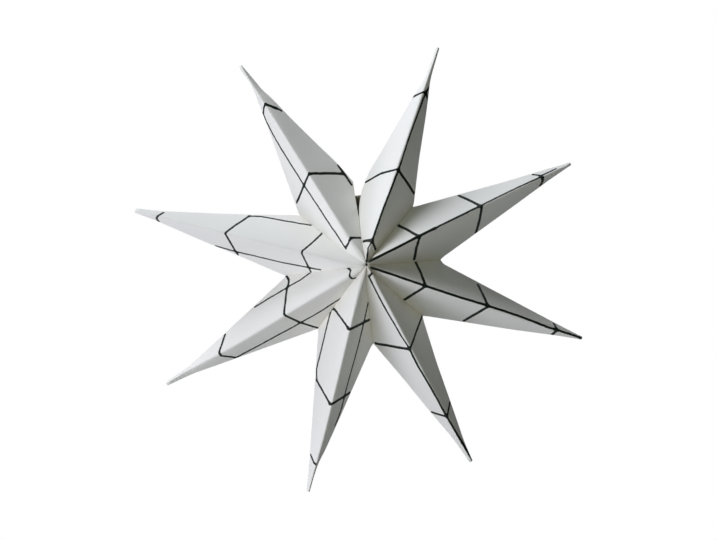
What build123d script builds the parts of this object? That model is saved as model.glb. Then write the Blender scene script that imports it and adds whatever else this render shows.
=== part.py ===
from build123d import *
import os
from math import cos, hypot, radians, sin

# An eight-pointed hanging star of white card that folds flat.
# Each point is one printed sheet, folded along its front ridge, closed along its back
# ridge and opened into four facets. Flanges inside the valleys are glued to the next
# point. The first and the last point meet at the seam, where two strips of tape hold them.
# Millimetres. The star hangs with its seam up, along +Z, and faces the viewer along -Y.
# It is drawn in a plan with the seam along +Y and the front along +Z, then stood up.

# Sizes of the whole star
star_reach = 300.0        # centre to the tip of an even point
valley_radius = 100.5     # centre to the corner between two points, on the outline
half_depth = 78.0         # outline to the middle of the front, and to that of the back

# Sizes of the card and its folds
card = 0.4                # thickness of the card
flange_width = 11.0       # strip inside a valley that is glued to the next point
glue_tab_width = 10.0     # strip inside the back ridge that closes a sheet
centre_hole_radius = 2.0  # opening that is left where the eight points meet

# Sizes of a tip, which is pressed into a narrow needle
needle_half_depth = 3.6   # where the needle opens into the four facets
tip_half_depth = 2.3      # at its blunt end

# Sizes of the seam
tape = 0.2                # thickness of the double-sided tape
tape_width = 7.0
tape_inset = 2.5          # fold of the flange to the edge of the tape
tape_end_inset = 4.0      # end of the closed stretch to the end of the tape
front_gape = 36.5         # length of the seam that gapes on the front, from the outline in
back_gape = 6.0           # and on the back

# Points clockwise from the seam, seen from the front: angle in degrees, and as shares
# of the reach how far each one reaches and how long its needle is.
point_angles = (24.3, 69.1, 113.7, 156.6, 199.2, 244.8, 289.2, 334.0)
reach_shares = (1.005, 1.005, 1.0, 0.97, 1.01, 1.0, 1.025, 1.025)
needle_shares = (0.15, 0.03, 0.02, 0.09, 0.02, 0.11, 0.02, 0.11)

# Outline corners clockwise: the first point's at the seam, the seven valleys, and the
# last point's at the seam. Each has an angle and a share of the valley radius.
corner_angles = (4.0, 45.0, 90.5, 135.7, 178.5, 221.7, 268.6, 314.0, 358.5)
corner_shares = (1.08, 1.0, 1.0, 1.0, 1.01, 1.0, 1.02, 1.055, 1.0)

# Worked out from the sizes above
point_count = len(point_angles)
seam_corners = (0, point_count)
front_closed_radius = valley_radius - front_gape
back_closed_radius = valley_radius - back_gape
valley_line_distance = valley_radius * half_depth / hypot(valley_radius, half_depth)
core_share = 1 - flange_width / valley_line_distance
beyond = 2 * star_reach   # past every tip and face, for the tools that trim a sheet


def in_plan(direction, radius):
    """Place in the plan, with the direction counted clockwise from the seam."""
    return Vector(radius * sin(radians(direction)), radius * cos(radians(direction)))


def corner_in_plan(index):
    """Outline corner, counted clockwise from the seam."""
    return in_plan(corner_angles[index], valley_radius * corner_shares[index])


def half_width_at_centre(index, corner_index, root):
    """Half width that a side crease has when it is carried on to the centre."""
    spread = radians(abs(corner_angles[corner_index] - point_angles[index]))
    radius = valley_radius * corner_shares[corner_index]
    along, out = radius * cos(spread), radius * sin(spread)
    needle_share = needle_half_depth / half_depth
    return out / (1 - (1 - needle_share) * along / root)


def corners_across(along, widths, depth, inset):
    """Corners of a cut across a point: a side crease at each width, a ridge at each depth."""
    share = depth / half_depth
    left, right = (share * each for each in widths)
    shrink = 1 - inset * hypot(2 / (left + right), 1 / depth)
    places = ((left, 0), (0, depth), (-right, 0), (0, -depth))
    return [Vector(along, shrink * out, shrink * up) for out, up in places]


def flat_sided(rings):
    """Solid through rings of corners, with flat facets between them."""
    facets = [[near[side - 1], near[side], far[side], far[side - 1]]
              for near, far in zip(rings, rings[1:]) for side in range(len(near))]
    faces = [Face(Polyline(outline, close=True)) for outline in [rings[0], rings[-1], *facets]]
    return Solid(Shell(faces))


def point_form(index, inset=0):
    """Solid form of one point, from the centre to its tip."""
    reach = star_reach * reach_shares[index]
    root = reach * (1 - needle_shares[index])
    widths = [half_width_at_centre(index, index + side, root) for side in (0, 1)]
    return facing(index) * flat_sided([
        corners_across(0, widths, half_depth, inset),
        corners_across(root, widths, needle_half_depth, inset),
        corners_across(reach - inset, widths, tip_half_depth, inset),
    ])


def facing(index):
    """Turn from +X in the plan to the direction of a point."""
    return Rot(0, 0, 90 - point_angles[index])


def border(corner_index, side, closed_radius):
    """Line in the plan that parts two neighbours, from the centre outwards."""
    corner = corner_in_plan(corner_index)
    if corner_index not in seam_corners:
        return [Vector(0, 0), corner.normalized() * beyond]
    face = side * tape / 2
    start, end_of_tape = Vector(face, centre_hole_radius / 2), Vector(face, closed_radius)
    return [start, end_of_tape, corner + (corner - end_of_tape).normalized() * beyond]


def share_of_plan(index, closed_radius, inset=0):
    """Slice of the plan that belongs to one point, its borders moved in by the inset."""
    first, last = border(index, 1, closed_radius), border(index + 1, -1, closed_radius)
    outline = first + last[::-1]
    if outline[0] == outline[-1]:
        outline.pop()
    area = make_face(Polyline(outline, close=True))
    if not inset:
        return area
    along_first, along_last = first[1].normalized(), last[1].normalized()
    inwards = Vector(along_first.Y, -along_first.X), Vector(-along_last.Y, along_last.X)
    return (Pos(inwards[0] * inset) * area) & (Pos(inwards[1] * inset) * area)


def slice_of_star(index, inset=0):
    """Space that one point may fill; the seam closes further out on the back."""
    front = extrude(share_of_plan(index, front_closed_radius, inset), amount=beyond)
    back = extrude(share_of_plan(index, back_closed_radius, inset), amount=-beyond)
    return front + back


def glue_tab(index):
    """Strip inside the back ridge, which lies on the facet clockwise of it."""
    length = star_reach * reach_shares[index] * (1 - needle_shares[index])
    strip = Box(length, glue_tab_width, beyond, align=(Align.MIN, Align.MAX, Align.MAX))
    return (point_form(index, card) - point_form(index, 2 * card)) & facing(index) * strip


def star_point(index):
    """One folded sheet: four facets, a glue tab, a closed tip and flanges in its valleys."""
    form = point_form(index)
    hollow = point_form(index, card) - glue_tab(index)
    sheet = form & slice_of_star(index)
    sheet -= hollow & slice_of_star(index, card)
    sheet -= scale(form, by=core_share, about=(0, 0, 0)) - glue_tab(index)
    sheet -= Cylinder(centre_hole_radius, beyond)
    return sheet


def seam_tape(side, closed_radius):
    """Strip between the seam's flanges, along the fold of the front or of the back."""
    outer = 1 - tape_inset / valley_line_distance
    inner = outer - tape_width / valley_line_distance
    near, far = centre_hole_radius + tape_end_inset, closed_radius - tape_end_inset
    places = [(far, outer), (near, outer), (near, inner), (far, inner)]
    ring = [Vector(0, radius, side * half_depth * (share - radius / valley_radius))
            for radius, share in places]
    return extrude(make_face(Polyline(ring, close=True)), amount=tape / 2, dir=(1, 0, 0), both=True)


def save(name, shape):
    """Stand a piece up and write it under its name."""
    piece = (Plane.XZ * shape).solid()
    piece.label = name
    export_step(piece, os.path.join("parts", name + ".step"))


os.makedirs("parts", exist_ok=True)
for index in range(point_count):
    save(f"star_point_{index + 1}", star_point(index))
save("seam_tape_front", seam_tape(1, front_closed_radius))
save("seam_tape_back", seam_tape(-1, back_closed_radius))
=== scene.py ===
"""A folded paper star of white card with dark green print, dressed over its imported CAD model."""
from math import atan2, cos, hypot, radians, sin

import bmesh
import bpy
from mathutils import Matrix, Vector, noise


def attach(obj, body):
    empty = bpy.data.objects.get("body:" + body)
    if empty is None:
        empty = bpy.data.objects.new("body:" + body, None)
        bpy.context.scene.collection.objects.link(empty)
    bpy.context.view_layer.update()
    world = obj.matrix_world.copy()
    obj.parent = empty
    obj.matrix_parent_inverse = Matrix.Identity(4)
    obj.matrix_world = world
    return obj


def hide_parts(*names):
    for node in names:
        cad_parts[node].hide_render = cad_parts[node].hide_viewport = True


bl_info = {
    "name": "Paper Star Ornament",
    "version": (1, 0, 0),
    "blender": (4, 5, 0),
    "location": "View3D > Sidebar > Paper Star",
    "description": "Adds the folded, printed sheets of a hanging paper star and a plain studio",
    "category": "Add Mesh",
}

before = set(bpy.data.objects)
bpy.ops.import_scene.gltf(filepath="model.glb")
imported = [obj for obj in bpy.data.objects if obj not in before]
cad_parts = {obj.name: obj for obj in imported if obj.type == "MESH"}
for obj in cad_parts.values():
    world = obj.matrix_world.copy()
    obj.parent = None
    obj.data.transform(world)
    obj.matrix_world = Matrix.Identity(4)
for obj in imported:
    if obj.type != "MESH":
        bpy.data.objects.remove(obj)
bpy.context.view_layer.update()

MM = 0.001

# The eight folded sheets, clockwise from the seam at the top, as the CAD names them.
SHEETS = [f"star_point_{number}" for number in range(1, 9)]
TAPES = ("seam_tape_front", "seam_tape_back")

# The two faces of a sheet, its two sides, and the sign of Y on each side.
FRONT, BACK = 1, -1
ANTICLOCKWISE, CLOCKWISE = 0, 1
SIGNS = (1, -1)

# The photograph's frame, used for the camera alone: its size and the star's centre in pixels, and
# how much of the star's outline a pixel shows.
PHOTO_SIZE = (716, 540)
STAR_CENTRE_PIXEL = (363.8, 266.3)
PIXEL = 1.304 * MM
SENSOR_WIDTH = 36

# Outline of each sheet beyond its valley corners, in millimetres: distance from the centre,
# half width on the anticlockwise side, and on the clockwise side.
OUTLINES = (
    ((115, 33.9, 31.9), (155, 25.2, 23.3), (210, 14.2, 13.8), (232, 10, 9.4), (252, 4.6, 5),
     (262, 3.2, 3.4), (302, 2.6, 1.6)),
    ((105, 38, 34), (210, 17.6, 16.5), (270, 7.5, 6.2), (290, 3.6, 3.5), (302, 1.6, 1.6)),
    ((105, 34.3, 35), (210, 16.4, 17.8), (270, 6.2, 6.6), (300, 1.6, 2)),
    ((105, 33, 35.5), (155, 22.8, 25.3), (210, 13.6, 15.4), (247, 7.2, 7.8), (262, 4.4, 5.6),
     (291, 1.6, 2.6)),
    ((105, 33, 36), (210, 14.5, 17.8), (248, 7.4, 11.3), (262, 3.6, 8.6), (280, 2, 6.2),
     (303, 1.2, 2.6)),
    ((105, 37, 38), (210, 17, 15.2), (240, 11.2, 9), (262, 6.6, 4.2), (300, 3, 2)),
    ((105, 34.8, 43), (155, 26.3, 31.5), (210, 18, 19.8), (280, 6, 6.2), (298, 3.9, 3.9),
     (308, 3, 2.8)),
    ((97, 37.6, 46.4), (130, 30.6, 41.2), (145, 27.5, 37.5), (160, 24.5, 33.2), (215, 12.8, 19.6),
     (252, 6, 11.6), (266, 3, 7), (280, 1.2, 5.4), (308, 3.4, 1)),
)

# The corners of the first and the last sheet at the seam have sprung further out than the
# solids', in millimetres along the sheet and across it. The curves say how late the gape opens on
# the front. On the back it opens with a step and in the last rows alone.
SPRUNG_CORNERS = {0: (115, 33.3), 7: (101.5, -45.7)}
SEAM_CURVES = {0: 1.9, 7: 0.6}
SEAM_GAP = 0.1 * MM
BACK_STEP, BACK_OPEN_ROWS = 0.3 * MM, 2

# Distance from the centre at which the seam's folds would meet the outline if they were closed,
# and the length over which they come apart.
SEAM_FOLD_END, PARTING = 100.5 * MM, 10 * MM

# Front ridge of each sheet, in millimetres: where its nose ends, from the centre; how far the nose
# leans anticlockwise; and how far anticlockwise of the sheet's middle the ridge lies, near the
# centre and near the tip.
RIDGES = (
    (2.2, 3.0, 0, 0), (1.6, 0.5, 4.5, 1.0), (1.2, -0.5, 0, 0), (2.2, 1.0, 4.0, 0.8),
    (1.0, -1.0, 1.3, 2.2), (1.4, 0.8, 1.8, 3.0), (0.8, 0.9, 1.0, 1.0), (2.2, -0.9, -3.0, -0.8),
)
NOSE_LEAN_END = 22 * MM
OUTER_LEAN_FROM = 0.7  # share of the way to the pressed tip
STEEPEST_LEAN = 0.25

# Where the ridges meet, they are rubbed down to a blunt middle.
NOSE_DROP, NOSE_RADIUS = 2.5 * MM, 7 * MM

# How far the valley on the clockwise side of each sheet is lifted near the centre of the front, in
# millimetres, and how strongly the card beside it is tinted yellowish: painted shade, which stands
# for the warm light bounced about in the valleys and is strongest away from the lamps.
VALLEY_LIFTS = (-4, -2.5, -6, 4.5, 5, 5.5, 6, 6)
VALLEY_SHADE_STRENGTHS = (0.8, 1, 1, 0.9, 0.5, 0.1, 0.1, 0.3)
# How far from the valley fold the painted shade reaches.
VALLEY_SHADE_WIDTH = 22 * MM

# The middle of the front is pulled aside, in millimetres to the right and up. The pull fades out
# over the radius below.
MIDDLE_SHIFT = (3.6, 1.4)
SHIFTED_RADIUS = 38 * MM

# Which vertices of a CAD sheet's mesh belong to which of its parts.
TIP_SPAN = 8 * MM  # the tip's lie nearer than this to the furthest one
ON_OUTLINE = 0.05 * MM  # the outline's lie nearer than this to its plane
ON_RIDGE = 1 * MM  # the ridge's lie nearer than this to the middle of the sheet
RIDGE_END_HEIGHT = 2.5 * MM  # and further than this above the outline
RIDGE_END_GAP = 2 * MM  # and further than this from the very tip

# Small forms of the card.
TIP_THINNING = 0.6  # height of the pressed tip at its end, as a share of that at its start
TIP_ROW_GAP = 0.8 * MM  # from the last row of faces to the very tip
CORNER_BEND = 8 * MM  # the outline rounds a valley corner over this, each way
BEND_WINDOW = 6 * MM  # its other bends are averaged over this, each way
FULL_BULGE = 30 * MM  # facets narrower than this bulge less
SOFTEST_FOLD = 0.3  # the most that a fold's rounding takes of a facet's width
WAVE_LENGTH = 45 * MM
NOISE_LAYER = 0.3  # keeps the waves of a sheet's front and back apart

# Rows of faces along a facet before and beyond its valley corner, and how they crowd at their
# start. Columns across it, and the places of those beside a fold, closer on a narrow facet.
ROWS_INSIDE, ROWS_OUTSIDE = 26, 46
INSIDE_CROWDING, OUTSIDE_CROWDING = 1.25, 1.3
FACET_COLUMNS, FLANGE_COLUMNS, TAB_COLUMNS = 10, 3, 3
FOLD_COLUMNS = (0, 0.6 * MM, 1.4 * MM, 2.6 * MM)
NARROW_FACET = 7 * MM
WELD = 0.02 * MM

# The glue tab inside the back ridge.
TAB_START = 0.97  # its columns are counted from here, so that the first is just past the ridge
TAB_DEPTH = 1.1  # thicknesses of card between it and the facet over it
TAB_SHARE = 0.6  # the most that it takes of the facet's width
TAB_ROOM = 5 * MM  # it is left out where the facet is narrower
BACK_RIDGE_GAP = 0.3 * MM  # how far the facet over it is set back

# The print, in millimetres on the flat sheet: along the ridge from the middle of the star, and
# across it, anticlockwise first. Lines are heavy, bold, plain or fine and run through their places.
PRINT = (
    {"bold": [[(137, -4), (86, 0), (36, 1)], [(137, -4), (133, -28), (128, -52)],
              [(36, 1), (35, 17)], [(36, 1), (33, -3), (29, -11)]],
     "plain": [[(266, -10), (251, -5), (188, -3), (137, -4)], [(251, -5), (241, 18)],
               [(251, -5), (243, -16)], [(137, -4), (132, 29), (121, 53)], [(16, 1), (7, -2)]],
     "fine": [[(36, 1), (25, 4), (16, 1)]]},
    {"heavy": [[(106, 5), (83, 5), (46, 4), (9, 4)]],
     "bold": [[(175, 5), (106, 5)], [(175, 5), (166, 45)], [(175, 5), (171, -21), (165, -45)],
              [(83, 5), (74, 47)], [(83, 5), (76, -15), (72, -37)],
              [(267, -1), (267, -9), (264, -14)]],
     "plain": [[(266, 3), (220, 5), (175, 5)], [(261, 15), (266, 7), (267, -1)]],
     "fine": [[(267, 5), (290, 4)]]},
    {"heavy": [[(306, 0), (273, 0), (262, -1), (222, 3), (173, 3), (128, 1), (85, 1), (48, 2),
                (11, 2)]],
     "bold": [[(273, 0), (269, 11)], [(273, 0), (272, -13)], [(173, 3), (162, 42)],
              [(173, 3), (160, -46)], [(85, 1), (80, 24), (72, 49)], [(85, 1), (74, -43)]]},
    {"bold": [[(304, 4), (285, 2), (231, 0), (190, 0), (150, -2), (126, 0)],
              [(126, 0), (112, -58)]],
     "plain": [[(126, 0), (108, -2), (90, -3), (58, -4), (15, -2), (15, 7)],
               [(231, 0), (222, -22)], [(231, 0), (222, 21)], [(126, 0), (111, 60)]]},
    {"bold": [[(188, -2), (188, 4), (186, 12), (178, 39)], [(84, -2), (85, 4), (83, 12), (76, 41)]],
     "plain": [[(266, -15), (272, -5), (273, 3)], [(172, -42), (185, -9), (188, -2)],
               [(73, -43), (74, -36), (82, -8), (84, -2)]],
     "fine": [[(73, -43), (76, -47), (85, -48), (159, -48), (172, -42)],
              [(51, 29), (85, 31), (120, 31), (171, 29), (196, 30), (212, 28), (222, 25)]]},
    {"plain": [[(214, -25), (223, -7), (227, 2), (228, 8), (222, 17), (217, 26)],
               [(111, -65), (108, -55), (109, -49), (113, -42), (118, -22), (124, 3), (119, 33),
                (110, 62)]],
     "fine": [[(217, 26), (176, 30), (134, 33), (95, 35), (55, 33)],
              [(164, -43), (110, -43), (92, -42), (74, -45)],
              [(23, -15), (19, -7), (24, 4), (24, 10), (20, 12)]]},
    {"plain": [[(280, -10), (283, -1), (286, 6), (284, 12)],
               [(174, -44), (182, -21), (189, 3), (177, 43)]],
     "fine": [[(72, -47), (73, -39), (77, -22), (81, -7), (83, -1), (84, 5), (80, 21), (75, 41)],
              [(174, -44), (160, -49), (126, -51), (92, -54)],
              [(207, 35), (180, 37), (120, 36), (61, 31)]]},
    {"bold": [[(145, -57), (125, -60), (115, -61)], [(143, -4), (138, -31), (132, -58)],
              [(255, -2), (250, -8), (246, -13)]],
     "plain": [[(132, 52), (141, 2), (143, -4)], [(250, 14), (254, 5), (255, -2)],
               [(246, -13), (241, -19)], [(42, -7), (39, -24)]],
     "fine": [[(250, 14), (242, 17), (220, 20), (190, 20), (141, 19), (35, 13)],
              [(36, 11), (37, 2), (42, -7)]]},
)

# Patterns in the print and the card. Real fibres, which give card its tooth, are too fine to show
# and are drawn coarser.
WOBBLE_LENGTH = 14 * MM  # the printed lines wander over this
RAGGED_LENGTH, RAGGEDNESS = 5 * MM, 0.9 * MM  # their edges are ragged over this, and by this
INK_EDGE = (0.7 * MM, 0.2 * MM)  # where there is no ink yet, and where it is full
CLOUD_LENGTH = 40 * MM  # the painted valley shade is cloudy over this
FIBRE_LENGTH, TOOTH_HEIGHT, TOOTH_STRENGTH = 1.5 * MM, 0.06 * MM, 0.35
CARD_ROUGHNESS, INK_ROUGHNESS, CARD_SPECULAR = 0.88, 0.53, 0.3

# Lamps of the studio: degrees around the star from its front, left being negative, degrees up,
# power in watts, and colour.
LAMPS = {
    "window": (-60, 50, 10.2, "#F9FAFF"),
    "skylight": (-90, 75, 24.5, "#EEF5FF"),
    "low side light": (-75, -15, 14.4, "#F0F2FF"),
    "low corner light": (-60, -15, 11.4, "#F0F2FF"),
    "front fill": (0, 5, 6.6, "#F7FFF2"),
    "back fill": (155, 20, 12.0, "#F4F6FF"),
}

MATH, VECTOR_MATH, NOISE = "ShaderNodeMath", "ShaderNodeVectorMath", "ShaderNodeTexNoise"


def linear(hex_colour):
    """A hex sRGB colour as the linear colour that Blender works in."""
    parts = (int(hex_colour[i:i + 2], 16) / 255 for i in (1, 3, 5))
    return tuple(c / 12.92 if c <= 0.04045 else ((c + 0.055) / 1.055) ** 2.4 for c in parts)


class StarSizes(bpy.types.PropertyGroup):
    """Sizes of the folded sheets."""
    half_depth: bpy.props.FloatProperty(
        name="Half depth", description="Outline of the star to the middle of its front",
        default=78 * MM, unit="LENGTH")
    card: bpy.props.FloatProperty(
        name="Card", description="Thickness of the card", default=0.4 * MM, unit="LENGTH")
    flange: bpy.props.FloatProperty(
        name="Flange", default=0.178, min=0, max=1,
        description="Width of a flange, as a share of its fold's distance from the centre")
    glue_tab: bpy.props.FloatProperty(
        name="Glue tab", description="Width of the strip under the back ridge",
        default=10 * MM, unit="LENGTH")
    centre_hole: bpy.props.FloatProperty(
        name="Centre hole", description="Diameter of the opening in the middle of the back",
        default=2 * MM, unit="LENGTH")
    ridge_softness: bpy.props.FloatProperty(
        name="Ridge softness", description="How far from the front ridge the fold starts to round",
        default=2.0 * MM, unit="LENGTH")
    back_softness: bpy.props.FloatProperty(
        name="Back softness", description="How far from the back ridge the fold starts to round",
        default=0.4 * MM, unit="LENGTH")
    groove: bpy.props.FloatProperty(
        name="Groove", description="How far a valley fold sinks in beside its neighbour's",
        default=0.25 * MM, unit="LENGTH")
    bow: bpy.props.FloatProperty(
        name="Bow", description="How far a facet bulges between its folds",
        default=0.7 * MM, unit="LENGTH")
    unevenness: bpy.props.FloatProperty(
        name="Unevenness", description="Height of the gentle waves in the card",
        default=0.35 * MM, unit="LENGTH")
    front_closed: bpy.props.FloatProperty(
        name="Front closed", default=64 * MM, unit="LENGTH",
        description="The seam stays closed from the centre to here on the front")
    back_closed: bpy.props.FloatProperty(
        name="Back closed", default=92.8 * MM, unit="LENGTH",
        description="The seam stays closed from the centre to here on the back")


class StarFinish(bpy.types.PropertyGroup):
    """Colours of the card and its print, and the print's line widths."""
    card_colour: bpy.props.FloatVectorProperty(
        name="Card", description="Uncoated white card", subtype="COLOR", size=3,
        default=linear("#F8F6F1"))
    # Painted shade: this yellowish tint stands for the warm light bounced about in the valleys.
    valley_shade_colour: bpy.props.FloatVectorProperty(
        name="Stain", description="Card that glue has yellowed beside the valley folds",
        subtype="COLOR", size=3, default=linear("#EDE5D0"))
    # Painted shade: the reverse is this dark grey so that the inside of the star and the seam's
    # flanges look shaded.
    reverse_and_shade_colour: bpy.props.FloatVectorProperty(
        name="Reverse", description="Unprinted grey inside of the card", subtype="COLOR", size=3,
        default=linear("#8C8670"))
    ink_colour: bpy.props.FloatVectorProperty(
        name="Ink", description="Dark green printing ink", subtype="COLOR", size=3,
        default=linear("#101E12"))
    heavy_line: bpy.props.FloatProperty(
        name="Heavy line", description="Width of the lines along two of the ridges",
        default=5.4 * MM, unit="LENGTH")
    bold_line: bpy.props.FloatProperty(
        name="Bold line", default=4.2 * MM, unit="LENGTH",
        description="Width of most lines along and across the ridges on the right")
    plain_line: bpy.props.FloatProperty(
        name="Plain line", description="Width of most lines across the ridges on the left",
        default=3.3 * MM, unit="LENGTH")
    fine_line: bpy.props.FloatProperty(
        name="Fine line", description="Width of the lines along the facets",
        default=2.8 * MM, unit="LENGTH")
    ink_spread: bpy.props.FloatProperty(
        name="Ink spread", description="How far the ink fills in where lines meet",
        default=4 * MM, unit="LENGTH")
    line_wobble: bpy.props.FloatProperty(
        name="Line wobble", description="How far the printed lines wander from straight",
        default=0.5 * MM, unit="LENGTH")


class StarStage(bpy.types.PropertyGroup):
    """Sizes of the studio around the star."""
    floor_drop: bpy.props.FloatProperty(
        name="Floor drop", description="Centre of the star to the floor", default=0.85,
        unit="LENGTH")
    floor_radius: bpy.props.FloatProperty(
        name="Floor radius", description="Radius of the round floor", default=1.3, unit="LENGTH")
    lamp_distance: bpy.props.FloatProperty(
        name="Lamp distance", description="Centre of the star to each lamp", default=2.0,
        unit="LENGTH")
    lamp_size: bpy.props.FloatProperty(
        name="Lamp size", description="Diameter of each lamp", default=1.4, unit="LENGTH")
    roll: bpy.props.FloatProperty(
        name="Camera roll", description="How far the camera leans over", default=radians(5.5),
        unit="ROTATION")
    lens: bpy.props.FloatProperty(
        name="Lens", description="Focal length of the camera in millimetres", default=85, min=1)


def near(distance, reach):
    """1 at no distance, falling evenly to 0 at the reach and beyond it."""
    return min(1, max(0, 1 - distance / reach))


def fade(share):
    """1 along a stretch, falling evenly to 0 over its last quarter."""
    return min(1, 4 * (1 - share))


def follow(places, x):
    """Height at x of a line through places whose bends are softened by averaging over a window."""
    def straight(x):
        for (x0, y0), (x1, y1) in zip(places, places[1:]):
            if x <= x1:
                return y0 + (y1 - y0) * (x - x0) / (x1 - x0)
        return places[-1][1]
    steps = (-1, -0.5, 0, 0.5, 1)
    return sum(straight(x + BEND_WINDOW * step) for step in steps) / len(steps)


def nose_drop(x):
    """How far the blunt middle of the star lies below the line of the ridges."""
    return NOSE_DROP * near(x, NOSE_RADIUS) ** 2


def row_share(number):
    """How far out a row inside the valley corner lies, as a share of the way to the corner."""
    return (number / ROWS_INSIDE) ** INSIDE_CROWDING


class Sheet:
    """One folded sheet in its own frame: +X to the tip, +Y anticlockwise, +Z to the front."""

    def __init__(self, index, sizes):
        self.index, self.sizes = index, sizes
        places = [vertex.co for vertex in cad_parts[SHEETS[index]].data.vertices]
        tip = max(places, key=lambda place: hypot(place.x, place.z))
        ends = [place for place in places if (place - tip).length < TIP_SPAN]
        middle = sum(ends, Vector()) / len(ends)
        angle = atan2(middle.x, middle.z)
        self.out = Vector((sin(angle), 0, cos(angle)))
        self.across = Vector((-cos(angle), 0, sin(angle)))
        self.reach = max(self.out.dot(place) for place in places)
        local = [self.to_local(place) for place in places]
        self.corners = self.find_corners(local)
        # Where the ridge ends at the pressed tip: how far out that is, and how high.
        self.root = max((place.x, place.z) for place in local
                        if abs(place.y) < ON_RIDGE and place.z > RIDGE_END_HEIGHT
                        and place.x < self.reach - RIDGE_END_GAP)
        self.ridge_start, self.nose_lean, self.inner_lean, self.outer_lean = (
            each * MM for each in RIDGES[index])
        self.ridge_places = [(0, sizes.half_depth), self.root,
                             (self.reach, TIP_THINNING * self.root[1])]
        self.side_places = [self.outline(side) for side in (ANTICLOCKWISE, CLOCKWISE)]
        self.widths = [places[0][1] for places in self.side_places]
        # How far each valley corner stands out from the outline that is drawn past it.
        self.corner_offsets = [abs(corner.y) - follow(self.side_places[side], corner.x)
                               for side, corner in enumerate(self.corners)]

    def to_local(self, place):
        """Place of the star in the sheet's own frame."""
        return Vector((self.out.dot(place), self.across.dot(place), -place.y))

    def to_star(self):
        """Matrix from the sheet's own frame to the star's."""
        return Matrix((self.out, self.across, Vector((0, -1, 0)))).transposed().to_4x4()

    def at_seam(self, side):
        """Whether the sheet's neighbour on a side is across the open seam."""
        return (self.index, side) in ((0, ANTICLOCKWISE), (len(SHEETS) - 1, CLOCKWISE))

    def find_corners(self, places):
        """Valley corners of the CAD sheet on the outline, with those at the seam sprung out."""
        inner = [place for place in places
                 if place.x < self.reach / 2 and abs(place.z) < ON_OUTLINE]
        corners = []
        for side, sign in enumerate(SIGNS):
            if self.at_seam(side):
                corners.append(Vector((*SPRUNG_CORNERS[self.index], 0)) * MM)
            else:
                beside = [place for place in inner if sign * place.y > 0]
                corners.append(max(beside, key=lambda place: place.length))
        return corners

    def outline(self, side):
        """Half widths along the sheet, with its first stretch drawn out to the centre."""
        (x0, y0), (x1, y1), *rest = [(station[0] * MM, station[side + 1] * MM)
                                     for station in OUTLINES[self.index]]
        return [(0, y0 + x0 * (y0 - y1) / (x1 - x0)), (x1, y1), *rest]

    def start(self, front):
        """Distance from the centre at which the ridge and the folds of the front or back start."""
        return self.ridge_start if front == FRONT else self.sizes.centre_hole / 2

    def width(self, x, side):
        """Half width of the outline at x, with the valley corner rounded."""
        corner = self.corners[side]
        return (follow(self.side_places[side], x)
                + self.corner_offsets[side] * near(abs(x - corner.x), CORNER_BEND) ** 2)

    def lean(self, x, front):
        """How far the ridge lies anticlockwise of the sheet's middle at x."""
        if front == BACK:
            return 0
        share = min(1, x / self.root[0])
        ridge = (self.inner_lean
                 + (self.outer_lean - self.inner_lean) * min(1, share / OUTER_LEAN_FROM))
        nose = self.nose_lean * near(x, NOSE_LEAN_END) ** 2
        limit = STEEPEST_LEAN * x
        return max(-limit, min(limit, nose + ridge * fade(share)))

    def pull(self, place):
        """How far a place on the front is pulled aside with the middle of the star."""
        right, up = MIDDLE_SHIFT
        aside = (Vector((self.out.x, self.across.x, 0)) * right
                 + Vector((self.out.z, self.across.z, 0)) * up)
        return aside * MM * near(place.xy.length, SHIFTED_RADIUS) ** 2

    def height(self, x, y, front):
        """Height of the front or the back above the outline at a place in the plan."""
        lean = self.lean(x, front)
        side = ANTICLOCKWISE if y >= lean else CLOCKWISE
        depth, width = follow(self.ridge_places, x), self.width(x, side) - SIGNS[side] * lean
        softness = self.sizes.ridge_softness if front == FRONT else self.sizes.back_softness
        soft = min(softness, SOFTEST_FOLD * width)
        share = min(1, (hypot(y - lean, soft) - soft) / (hypot(width, soft) - soft))
        bulge = self.sizes.bow * 4 * share * (1 - share) * min(1, width / FULL_BULGE)
        layer = front * (NOISE_LAYER + self.index)
        ripple = 2 * self.sizes.unevenness * noise.noise(Vector((x, y - lean, layer)) / WAVE_LENGTH)
        return depth * (1 - share) - nose_drop(x) + bulge + ripple * fade(share)

    def fold_height(self, side, front, place):
        """Height of the fold beside the neighbour, which both sheets share where they are glued."""
        radius, half_depth = place.length, self.sizes.half_depth
        if not self.at_seam(side):
            return half_depth * (1 - radius / self.corners[side].length) - nose_drop(place.x)
        closed = self.sizes.front_closed if front == FRONT else self.sizes.back_closed
        shared = half_depth * (1 - radius / SEAM_FOLD_END) - nose_drop(place.x)
        own = self.height(place.x, place.y, front)
        return own + (shared - own) * near(radius - closed, PARTING)

    def valley_lift(self, side, front, radius):
        """How far the valley is lifted at a radius: most at a third of the way to the outline."""
        share = min(1, radius / self.corners[side].length)
        most = VALLEY_LIFTS[self.index if side == CLOCKWISE else self.index - 1] * MM
        rise = share * (1 - share) ** 2 * 27 / 4  # 1 where it is highest
        return most * rise if front == FRONT else 0

    def flat(self, x, y):
        """Where a place in the plan lies on the printed sheet: along its ridge, then across."""
        side = ANTICLOCKWISE if y >= 0 else CLOCKWISE
        root_x, root_z = self.root
        fall = (self.sizes.half_depth - root_z) / root_x
        along = Vector((1, 0, -fall)).normalized()
        down = Vector((0, self.widths[side], -self.sizes.half_depth))
        across = (down - down.dot(along) * along).normalized()
        drop = fall * x + follow(self.ridge_places, x) * abs(y) / self.width(x, side)
        offset = Vector((x, abs(y), -drop))
        return offset.dot(along), SIGNS[side] * offset.dot(across)

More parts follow.
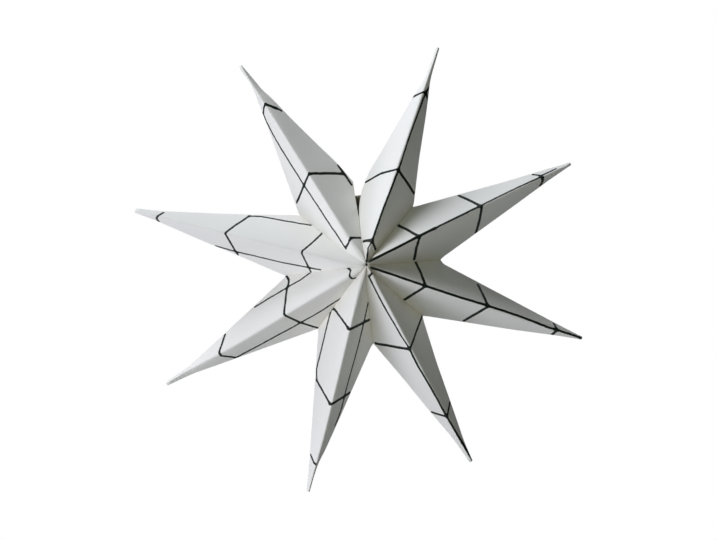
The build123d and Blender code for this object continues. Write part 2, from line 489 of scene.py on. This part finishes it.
    def border(self, side, front, number):
        """Place in the plan where a row turns in beside the neighbour.

        The seam opens in a long wedge on the front. On the back it stays closed almost to the
        outline.
        """
        corner, start, share = self.corners[side], self.start(front), row_share(number)
        if not self.at_seam(side):
            return corner.xy.normalized() * (start + (corner.length - start) * share)
        up = Vector((self.out.z, self.across.z))
        over = Vector((self.out.x, self.across.x))
        end, gape = corner.xy.dot(up), corner.xy.dot(over)
        closed, first_open = self.sizes.front_closed, ROWS_INSIDE - BACK_OPEN_ROWS
        if front == FRONT:
            height = start + (end - start) * share
        elif number < first_open:
            height = self.sizes.back_closed * share / row_share(first_open - 1)
        else:
            opened = self.sizes.back_closed + BACK_STEP
            beyond = (share - row_share(first_open)) / (1 - row_share(first_open))
            height = opened + (end - opened) * beyond
        opening = max(0, (height - closed) / (end - closed))
        if front == BACK and number < first_open:
            opening = 0
        least = SEAM_GAP if gape > 0 else -SEAM_GAP
        return up * height + over * (least + (gape - least) * opening ** SEAM_CURVES[self.index])

    def row(self, side, front, number):
        """Ridge end and fold end of a row of a facet, in the plan."""
        corner = self.corners[side]
        bend = (self.corners[ANTICLOCKWISE].x + self.corners[CLOCKWISE].x) / 2
        if number <= ROWS_INSIDE:
            start = self.start(front)
            x = start + (bend - start) * row_share(number)
            return Vector((x, self.lean(x, front))), self.border(side, front, number)
        share = ((number - ROWS_INSIDE) / ROWS_OUTSIDE) ** OUTSIDE_CROWDING
        end = self.reach - TIP_ROW_GAP
        x, along = corner.x + (end - corner.x) * share, bend + (end - bend) * share
        return (Vector((along, self.lean(along, front))),
                Vector((x, SIGNS[side] * self.width(x, side))))


def column_places(width):
    """Distances of a facet's columns from its ridge: close beside the folds, even between them."""
    close = [min(1, width / NARROW_FACET) * each for each in FOLD_COLUMNS]
    far = [width - each for each in reversed(close[:-1])]
    count = FACET_COLUMNS + 1 - len(close) - len(far)
    step = (far[0] - close[-1]) / (count + 1)
    return close + [close[-1] + step * (i + 1) for i in range(count)] + far


def add_facet(mesh, sheet, side, front):
    """Adds a facet of the front or the back, and the flange beyond its valley fold.

    The anticlockwise facet of the back also has the glue tab, which lies under the other one. The
    layer "fold" is 1 at the valley fold and falls to 0 away from it, and it masks the painted
    valley shade. The layer "beyond" is above 0 on a flange alone, where it scales a place to where
    that lies when the flange is unfolded.
    """
    sizes = sheet.sizes
    tab = TAB_COLUMNS if (side, front) == (ANTICLOCKWISE, BACK) else 0
    columns = tab + FACET_COLUMNS + FLANGE_COLUMNS
    rows = ROWS_INSIDE + ROWS_OUTSIDE + 1
    fold, beyond = mesh.verts.layers.float["fold"], mesh.verts.layers.float["beyond"]
    spare = []
    grid = bmesh.ops.create_grid(mesh, x_segments=rows, y_segments=columns, size=1)
    for vertex in grid["verts"]:
        number = round((vertex.co.x + 1) / 2 * rows)
        step = round((vertex.co.y + 1) / 2 * columns) - tab
        at_tip = number == rows
        ridge, edge = sheet.row(side, front, min(number, rows - 1))
        width = (edge - ridge).length
        room = min(width, sheet.width(ridge.x, CLOCKWISE))
        valley = number < ROWS_INSIDE
        if at_tip:
            vertex.co = (sheet.reach, 0, 0)
        elif step < 0:
            share = (-step - TAB_START) / (TAB_COLUMNS - TAB_START)
            across = min(sizes.glue_tab, TAB_SHARE * room) * share
            slope = hypot(sizes.half_depth, sheet.widths[CLOCKWISE]) / sheet.widths[CLOCKWISE]
            height = sheet.height(ridge.x, -across, front) - TAB_DEPTH * sizes.card * slope
            vertex.co = (ridge.x, -across, front * height)
        elif step <= FACET_COLUMNS:
            from_ridge = column_places(width)[step]
            share = from_ridge / width
            place = ridge.lerp(edge, share)
            if step == 0 and (side, front) == (CLOCKWISE, BACK):
                place.y -= BACK_RIDGE_GAP * (1 - near(room - TAB_ROOM, TAB_ROOM))
            height = sheet.height(place.x, place.y, front)
            if valley:
                missed = (sheet.fold_height(side, front, edge)
                          - sheet.height(edge.x, edge.y, front))
                height += missed * share ** 2 - (sizes.groove if step == FACET_COLUMNS else 0)
                height += sheet.valley_lift(side, front, edge.length) * share
            elif step == FACET_COLUMNS:
                height = 0
            vertex.co = (place.x, place.y, front * height)
            # Mask of the painted valley shade: 1 at the valley fold.
            vertex[fold] = near(width - from_ridge, VALLEY_SHADE_WIDTH) if number <= ROWS_INSIDE else 0
        else:
            height = sheet.fold_height(side, front, edge) - sizes.groove if valley else 0
            height += sheet.valley_lift(side, front, edge.length)
            keep = 1 - sizes.flange * (step - FACET_COLUMNS) / FLANGE_COLUMNS
            vertex.co = (edge.x * keep, edge.y * keep, front * height * keep)
            vertex[fold], vertex[beyond] = 1, 1 / keep ** 2
        if front == FRONT:
            vertex.co += sheet.pull(vertex.co)
        past_corner = step > FACET_COLUMNS and number > ROWS_INSIDE
        if past_corner or step < 0 and (at_tip or room < TAB_ROOM):
            spare.append(vertex)
    bmesh.ops.delete(mesh, geom=spare, context="VERTS")


def fold_sheet(sheet):
    """Mesh of one sheet: four facets welded along the front ridge and the outline.

    Its UV map is the flat, printed sheet, and its second material paints dark shade on the flanges
    that the open seam shows.
    """
    mesh = bmesh.new()
    mesh.verts.layers.float.new("fold")
    mesh.verts.layers.float.new("beyond")
    for front in (FRONT, BACK):
        for side in (ANTICLOCKWISE, CLOCKWISE):
            add_facet(mesh, sheet, side, front)
    bmesh.ops.remove_doubles(mesh, verts=mesh.verts, dist=WELD)
    turn_outwards(mesh)
    layer, beyond = mesh.loops.layers.uv.new("sheet"), mesh.verts.layers.float["beyond"]
    for face in mesh.faces:
        face.smooth = True
        side = ANTICLOCKWISE if face.calc_center_median().y > 0 else CLOCKWISE
        # Faces of the flanges at the open seam take the reverse, which paints their shade.
        if sheet.at_seam(side) and any(vertex[beyond] for vertex in face.verts):
            face.material_index = 1
        for loop in face.loops:
            loop[layer].uv = sheet.flat(*loop.vert.co.xy * (loop.vert[beyond] or 1))
    bmesh.ops.transform(mesh, matrix=sheet.to_star(), verts=mesh.verts)
    return mesh


def turn_outwards(mesh):
    """Turns the faces of a sheet outwards, which its front shows best, since it has open edges."""
    bmesh.ops.recalc_face_normals(mesh, faces=mesh.faces)
    facing = sum(face.normal.z * face.calc_area() for face in mesh.faces
                 if face.calc_center_median().z > 0)
    if facing < 0:
        bmesh.ops.reverse_faces(mesh, faces=mesh.faces)


def add_piece(name, mesh, materials):
    """Makes a bmesh into an object of the scene."""
    data = bpy.data.meshes.new(name)
    mesh.to_mesh(data)
    mesh.free()
    piece = bpy.data.objects.new(name, data)
    bpy.context.scene.collection.objects.link(piece)
    for material in materials:
        data.materials.append(material)
    return piece


def add_node(tree, kind, inputs=(), **settings):
    """Adds a node with its settings, and sets or links its inputs, given in order or by name."""
    node = tree.nodes.new(kind)
    for name, value in settings.items():
        setattr(node, name, value)
    for name, value in inputs.items() if isinstance(inputs, dict) else enumerate(inputs):
        if isinstance(value, bpy.types.NodeSocket):
            tree.links.new(value, node.inputs[name])
        else:
            node.inputs[name].default_value = value
    return node


def new_material(name):
    """An empty material and its tree."""
    material = bpy.data.materials.new(name)
    material.use_nodes = True
    material.node_tree.nodes.clear()
    return material, material.node_tree


def finish_material(material, tree, shader_inputs):
    """Ends a material with its shader and output."""
    shader = add_node(tree, "ShaderNodeBsdfPrincipled", shader_inputs).outputs[0]
    add_node(tree, "ShaderNodeOutputMaterial", {"Surface": shader})
    return material


def stroke_group():
    """Node group: how far a place on the sheet lies from a straight stroke."""
    tree = bpy.data.node_groups.new("printed stroke", "ShaderNodeTree")
    for name in ("Sheet", "From", "To"):
        tree.interface.new_socket(name, in_out="INPUT", socket_type="NodeSocketVector")
    tree.interface.new_socket("Distance", in_out="OUTPUT", socket_type="NodeSocketFloat")
    given = add_node(tree, "NodeGroupInput").outputs
    start = given["From"]
    to_place = add_node(tree, VECTOR_MATH, (given["Sheet"], start), operation="SUBTRACT").outputs[0]
    whole = add_node(tree, VECTOR_MATH, (given["To"], start), operation="SUBTRACT").outputs[0]
    passed = add_node(tree, VECTOR_MATH, (to_place, whole), operation="DOT_PRODUCT")
    square = add_node(tree, VECTOR_MATH, (whole, whole), operation="DOT_PRODUCT")
    share = add_node(tree, MATH, (passed.outputs["Value"], square.outputs["Value"]),
                     operation="DIVIDE", use_clamp=True).outputs[0]
    nearest = add_node(tree, VECTOR_MATH, {0: whole, "Scale": share}, operation="SCALE").outputs[0]
    away = add_node(tree, VECTOR_MATH, (to_place, nearest), operation="DISTANCE")
    add_node(tree, "NodeGroupOutput", {"Distance": away.outputs["Value"]})
    return tree


def wandering_sheet(tree, finish, index):
    """Places on the flat sheet, shifted a little so that what is drawn there wobbles."""
    sheet = add_node(tree, "ShaderNodeUVMap", uv_map="sheet").outputs["UV"]
    wave = add_node(tree, NOISE, {"Vector": sheet, "W": float(index), "Scale": 1 / WOBBLE_LENGTH,
                                  "Detail": 2}, noise_dimensions="4D").outputs["Color"]
    wave = add_node(tree, VECTOR_MATH, (wave, (0.5, 0.5, 0.5)), operation="SUBTRACT").outputs[0]
    most = 4 * finish.line_wobble  # the noise seldom strays further than a quarter
    shift = add_node(tree, VECTOR_MATH, (wave, (most, most, 0)), operation="MULTIPLY").outputs[0]
    return add_node(tree, VECTOR_MATH, (sheet, shift), operation="ADD").outputs[0]


def from_line(tree, group, sheet, line):
    """How far a place on the sheet lies from the nearest stroke of a line."""
    nearest = None
    for start, end in zip(line, line[1:]):
        ends = {"Sheet": sheet, "From": (start[0] * MM, start[1] * MM, 0),
                "To": (end[0] * MM, end[1] * MM, 0)}
        away = add_node(tree, "ShaderNodeGroup", ends, node_tree=group).outputs["Distance"]
        if nearest:
            away = add_node(tree, MATH, (nearest, away), operation="MINIMUM").outputs[0]
        nearest = away
    return nearest


def printed_ink(tree, group, sheet, index, finish):
    """Where the sheet is inked: 1 on its lines, which spread where they meet, and 0 beside them."""
    outside = None
    for weight in ("heavy", "bold", "plain", "fine"):
        width = getattr(finish, f"{weight}_line")
        for line in PRINT[index].get(weight, ()):
            away = add_node(tree, MATH, (from_line(tree, group, sheet, line), width / 2),
                            operation="SUBTRACT").outputs[0]
            if outside:
                away = add_node(tree, MATH, (outside, away, finish.ink_spread),
                                operation="SMOOTH_MIN").outputs[0]
            outside = away
    ragged = add_node(tree, NOISE, {"Vector": sheet, "Scale": 1 / RAGGED_LENGTH,
                                    "Detail": 3}).outputs["Fac"]
    outside = add_node(tree, MATH, (ragged, RAGGEDNESS, outside),
                       operation="MULTIPLY_ADD").outputs[0]
    bare, inked = INK_EDGE
    return add_node(tree, "ShaderNodeMapRange", {
        "Value": outside, "From Min": bare, "From Max": inked, "To Min": 0, "To Max": 1,
    }, interpolation_type="SMOOTHSTEP").outputs["Result"]


def valley_shaded_card(tree, place, sheet, index, finish):
    """Colour of the card, with painted shade: a yellowish tint in clouds beside the valley folds.
    """
    cloud = add_node(tree, NOISE, {"Vector": place, "Scale": 1 / CLOUD_LENGTH,
                                   "Detail": 2}).outputs["Fac"]
    fold = add_node(tree, "ShaderNodeAttribute", attribute_name="fold").outputs["Fac"]
    painted_shade = add_node(tree, MATH, (fold, fold), operation="MULTIPLY").outputs[0]
    painted_shade = add_node(tree, MATH, (painted_shade, cloud), operation="MULTIPLY").outputs[0]
    side = add_node(tree, "ShaderNodeSeparateXYZ", (sheet,)).outputs["Y"]
    clockwise = add_node(tree, MATH, (side, 0), operation="LESS_THAN").outputs[0]
    before = VALLEY_SHADE_STRENGTHS[index - 1]
    strength = add_node(tree, MATH, (clockwise, VALLEY_SHADE_STRENGTHS[index] - before, before),
                        operation="MULTIPLY_ADD").outputs[0]
    painted_shade = add_node(tree, MATH, (painted_shade, strength), operation="MULTIPLY").outputs[0]
    # The card turns towards the painted shade colour beside the valley folds.
    return add_node(tree, "ShaderNodeMix", {
        "Factor": painted_shade, "A": (*finish.card_colour, 1), "B": (*finish.valley_shade_colour, 1),
    }, data_type="RGBA").outputs["Result"]


def printed_card(index, finish, group):
    """Uncoated white card, offset printed with dark green lines: matt, with a faint tooth."""
    material, tree = new_material(f"printed card {index + 1}")
    sheet = wandering_sheet(tree, finish, index)
    place = add_node(tree, "ShaderNodeTexCoord").outputs["Object"]
    ink = printed_ink(tree, group, sheet, index, finish)
    # The card, with the painted shade in its valleys.
    card = valley_shaded_card(tree, place, sheet, index, finish)
    colour = add_node(tree, "ShaderNodeMix", {
        "Factor": ink, "A": card, "B": (*finish.ink_colour, 1)}, data_type="RGBA").outputs["Result"]
    # The ink fills the pores of the card, so it has a slight sheen.
    roughness = add_node(tree, MATH, (ink, INK_ROUGHNESS - CARD_ROUGHNESS, CARD_ROUGHNESS),
                         operation="MULTIPLY_ADD").outputs[0]
    fibre = add_node(tree, NOISE, {"Vector": place, "Scale": 1 / FIBRE_LENGTH, "Detail": 5,
                                   "Roughness": 0.65}).outputs["Fac"]
    tooth = add_node(tree, "ShaderNodeBump", {
        "Height": fibre, "Strength": TOOTH_STRENGTH, "Distance": TOOTH_HEIGHT}).outputs["Normal"]
    return finish_material(material, tree, {
        "Base Color": colour, "Roughness": roughness, "Specular IOR Level": CARD_SPECULAR,
        "Normal": tooth})


def shaded_reverse_card(finish):
    """Unprinted reverse of the card, also on the seam's flanges: matt, painted dark grey as shade.
    """
    return finish_material(*new_material("unprinted card with painted shade"), {
        "Base Color": (*finish.reverse_and_shade_colour, 1), "Roughness": 0.9,
        "Specular IOR Level": CARD_SPECULAR})


class AddSheets(bpy.types.Operator):
    """Adds the eight folded, printed sheets."""
    bl_idname = "star.add_sheets"
    bl_label = "Add folded sheets"

    def execute(self, context):
        sizes, finish = context.scene.star_sizes, context.scene.star_finish
        # The reverse paints the shade inside the star and on the seam's flanges.
        reverse, group = shaded_reverse_card(finish), stroke_group()
        for index, node in enumerate(SHEETS):
            mesh = fold_sheet(Sheet(index, sizes))
            printed = printed_card(index, finish, group)
            piece = add_piece(f"card_point_{index + 1}", mesh, [printed, reverse])
            wall = piece.modifiers.new("card thickness", "SOLIDIFY")
            wall.thickness, wall.offset = sizes.card, -1
            wall.material_offset = 1  # the inside shows the reverse, whose dark grey is painted shade
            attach(piece, "root")
            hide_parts(node)
        return {"FINISHED"}


class FinishTapes(bpy.types.Operator):
    """Gives the seam's hidden tapes their finish."""
    bl_idname = "star.finish_tapes"
    bl_label = "Finish seam tapes"

    def execute(self, context):
        # Cast film with glue on both faces: smoother and slightly yellower than the card.
        tape = finish_material(*new_material("double-sided tape"), {
            "Base Color": (*linear("#D9D5C6"), 1), "Roughness": 0.5})
        for name in TAPES:
            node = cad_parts[name]
            node.data.materials.clear()
            node.data.materials.append(tape)
        return {"FINISHED"}


class AddStage(bpy.types.Operator):
    """Adds the floor, the lamps and the camera at the photograph's angle."""
    bl_idname = "star.add_stage"
    bl_label = "Add studio"

    def execute(self, context):
        scene, stage = context.scene, context.scene.star_stage
        self.add_floor(stage)
        for name, lamp in LAMPS.items():
            self.add_lamp(scene, stage, name, *lamp)
        self.add_world(scene)
        self.add_camera(scene, stage)
        scene.view_settings.view_transform = "Standard"
        return {"FINISHED"}

    def add_floor(self, stage):
        """A round, matt, pale grey floor below the picture, which sends light up at the star."""
        mesh = bmesh.new()
        bmesh.ops.create_circle(mesh, cap_ends=True, segments=96, radius=stage.floor_radius)
        drop = Matrix.Translation((0, 0, -stage.floor_drop))
        bmesh.ops.transform(mesh, matrix=drop, verts=mesh.verts)
        floor = finish_material(*new_material("pale floor"), {
            "Base Color": (*linear("#C8C8C4"), 1), "Roughness": 0.9})
        add_piece("floor", mesh, [floor])

    def add_lamp(self, scene, stage, name, around, up, power, colour):
        """A large round lamp that shines at the middle of the star."""
        light = bpy.data.lights.new(name, "AREA")
        light.shape, light.size, light.energy = "DISK", stage.lamp_size, power
        light.color = linear(colour)
        lamp = bpy.data.objects.new(name, light)
        scene.collection.objects.link(lamp)
        around, up = radians(around), radians(up)
        direction = Vector((sin(around) * cos(up), -cos(around) * cos(up), sin(up)))
        lamp.location = direction * stage.lamp_distance
        lamp.rotation_euler = (-direction).to_track_quat("-Z", "Y").to_euler()

    def add_world(self, scene):
        """A backdrop that is white behind the star and gives no light."""
        world = bpy.data.worlds.new("white studio")
        world.use_nodes = True
        tree = world.node_tree
        tree.nodes.clear()
        seen = add_node(tree, "ShaderNodeLightPath").outputs["Is Camera Ray"]
        white = add_node(tree, "ShaderNodeBackground", {"Color": (1, 1, 1, 1), "Strength": seen})
        add_node(tree, "ShaderNodeOutputWorld", {"Surface": white.outputs[0]})
        scene.world = world

    def add_camera(self, scene, stage):
        """The camera straight in front of the star, leaning over as in the photograph."""
        camera = bpy.data.objects.new("camera", bpy.data.cameras.new("camera"))
        scene.collection.objects.link(camera)
        camera.data.lens, camera.data.sensor_width = stage.lens, SENSOR_WIDTH
        distance = PIXEL * PHOTO_SIZE[0] * stage.lens / SENSOR_WIDTH
        right = Vector((cos(stage.roll), 0, -sin(stage.roll)))
        up = Vector((sin(stage.roll), 0, cos(stage.roll)))
        aside = PIXEL * (STAR_CENTRE_PIXEL[0] - PHOTO_SIZE[0] / 2)
        above = PIXEL * (PHOTO_SIZE[1] / 2 - STAR_CENTRE_PIXEL[1])
        place = -right * aside - up * above + Vector((0, -distance, 0))
        turn = Matrix((right, up, Vector((0, -1, 0)))).transposed().to_4x4()
        camera.matrix_world = Matrix.Translation(place) @ turn
        scene.camera = camera


class StarPanel(bpy.types.Panel):
    """Sizes, colours and steps of the paper star."""
    bl_idname = "VIEW3D_PT_paper_star"
    bl_label = "Paper Star"
    bl_space_type = "VIEW_3D"
    bl_region_type = "UI"
    bl_category = "Paper Star"

    def draw(self, context):
        for name in GROUPS:
            box = self.layout.box()
            group = getattr(context.scene, name)
            for value in group.bl_rna.properties.keys():
                if value not in ("rna_type", "name"):
                    box.prop(group, value)
        for operator in OPERATORS:
            self.layout.operator(operator.bl_idname)


OPERATORS = (AddSheets, FinishTapes, AddStage)
GROUPS = {"star_sizes": StarSizes, "star_finish": StarFinish, "star_stage": StarStage}


def register():
    for cls in (*GROUPS.values(), *OPERATORS, StarPanel):
        bpy.utils.register_class(cls)
    for name, group in GROUPS.items():
        setattr(bpy.types.Scene, name, bpy.props.PointerProperty(type=group))


def unregister():
    for name in GROUPS:
        delattr(bpy.types.Scene, name)
    for cls in (StarPanel, *reversed(OPERATORS), *reversed(GROUPS.values())):
        bpy.utils.unregister_class(cls)


def main():
    register()
    bpy.ops.star.add_sheets()
    bpy.ops.star.finish_tapes()
    bpy.ops.star.add_stage()


if __name__ == "__main__":
    main()
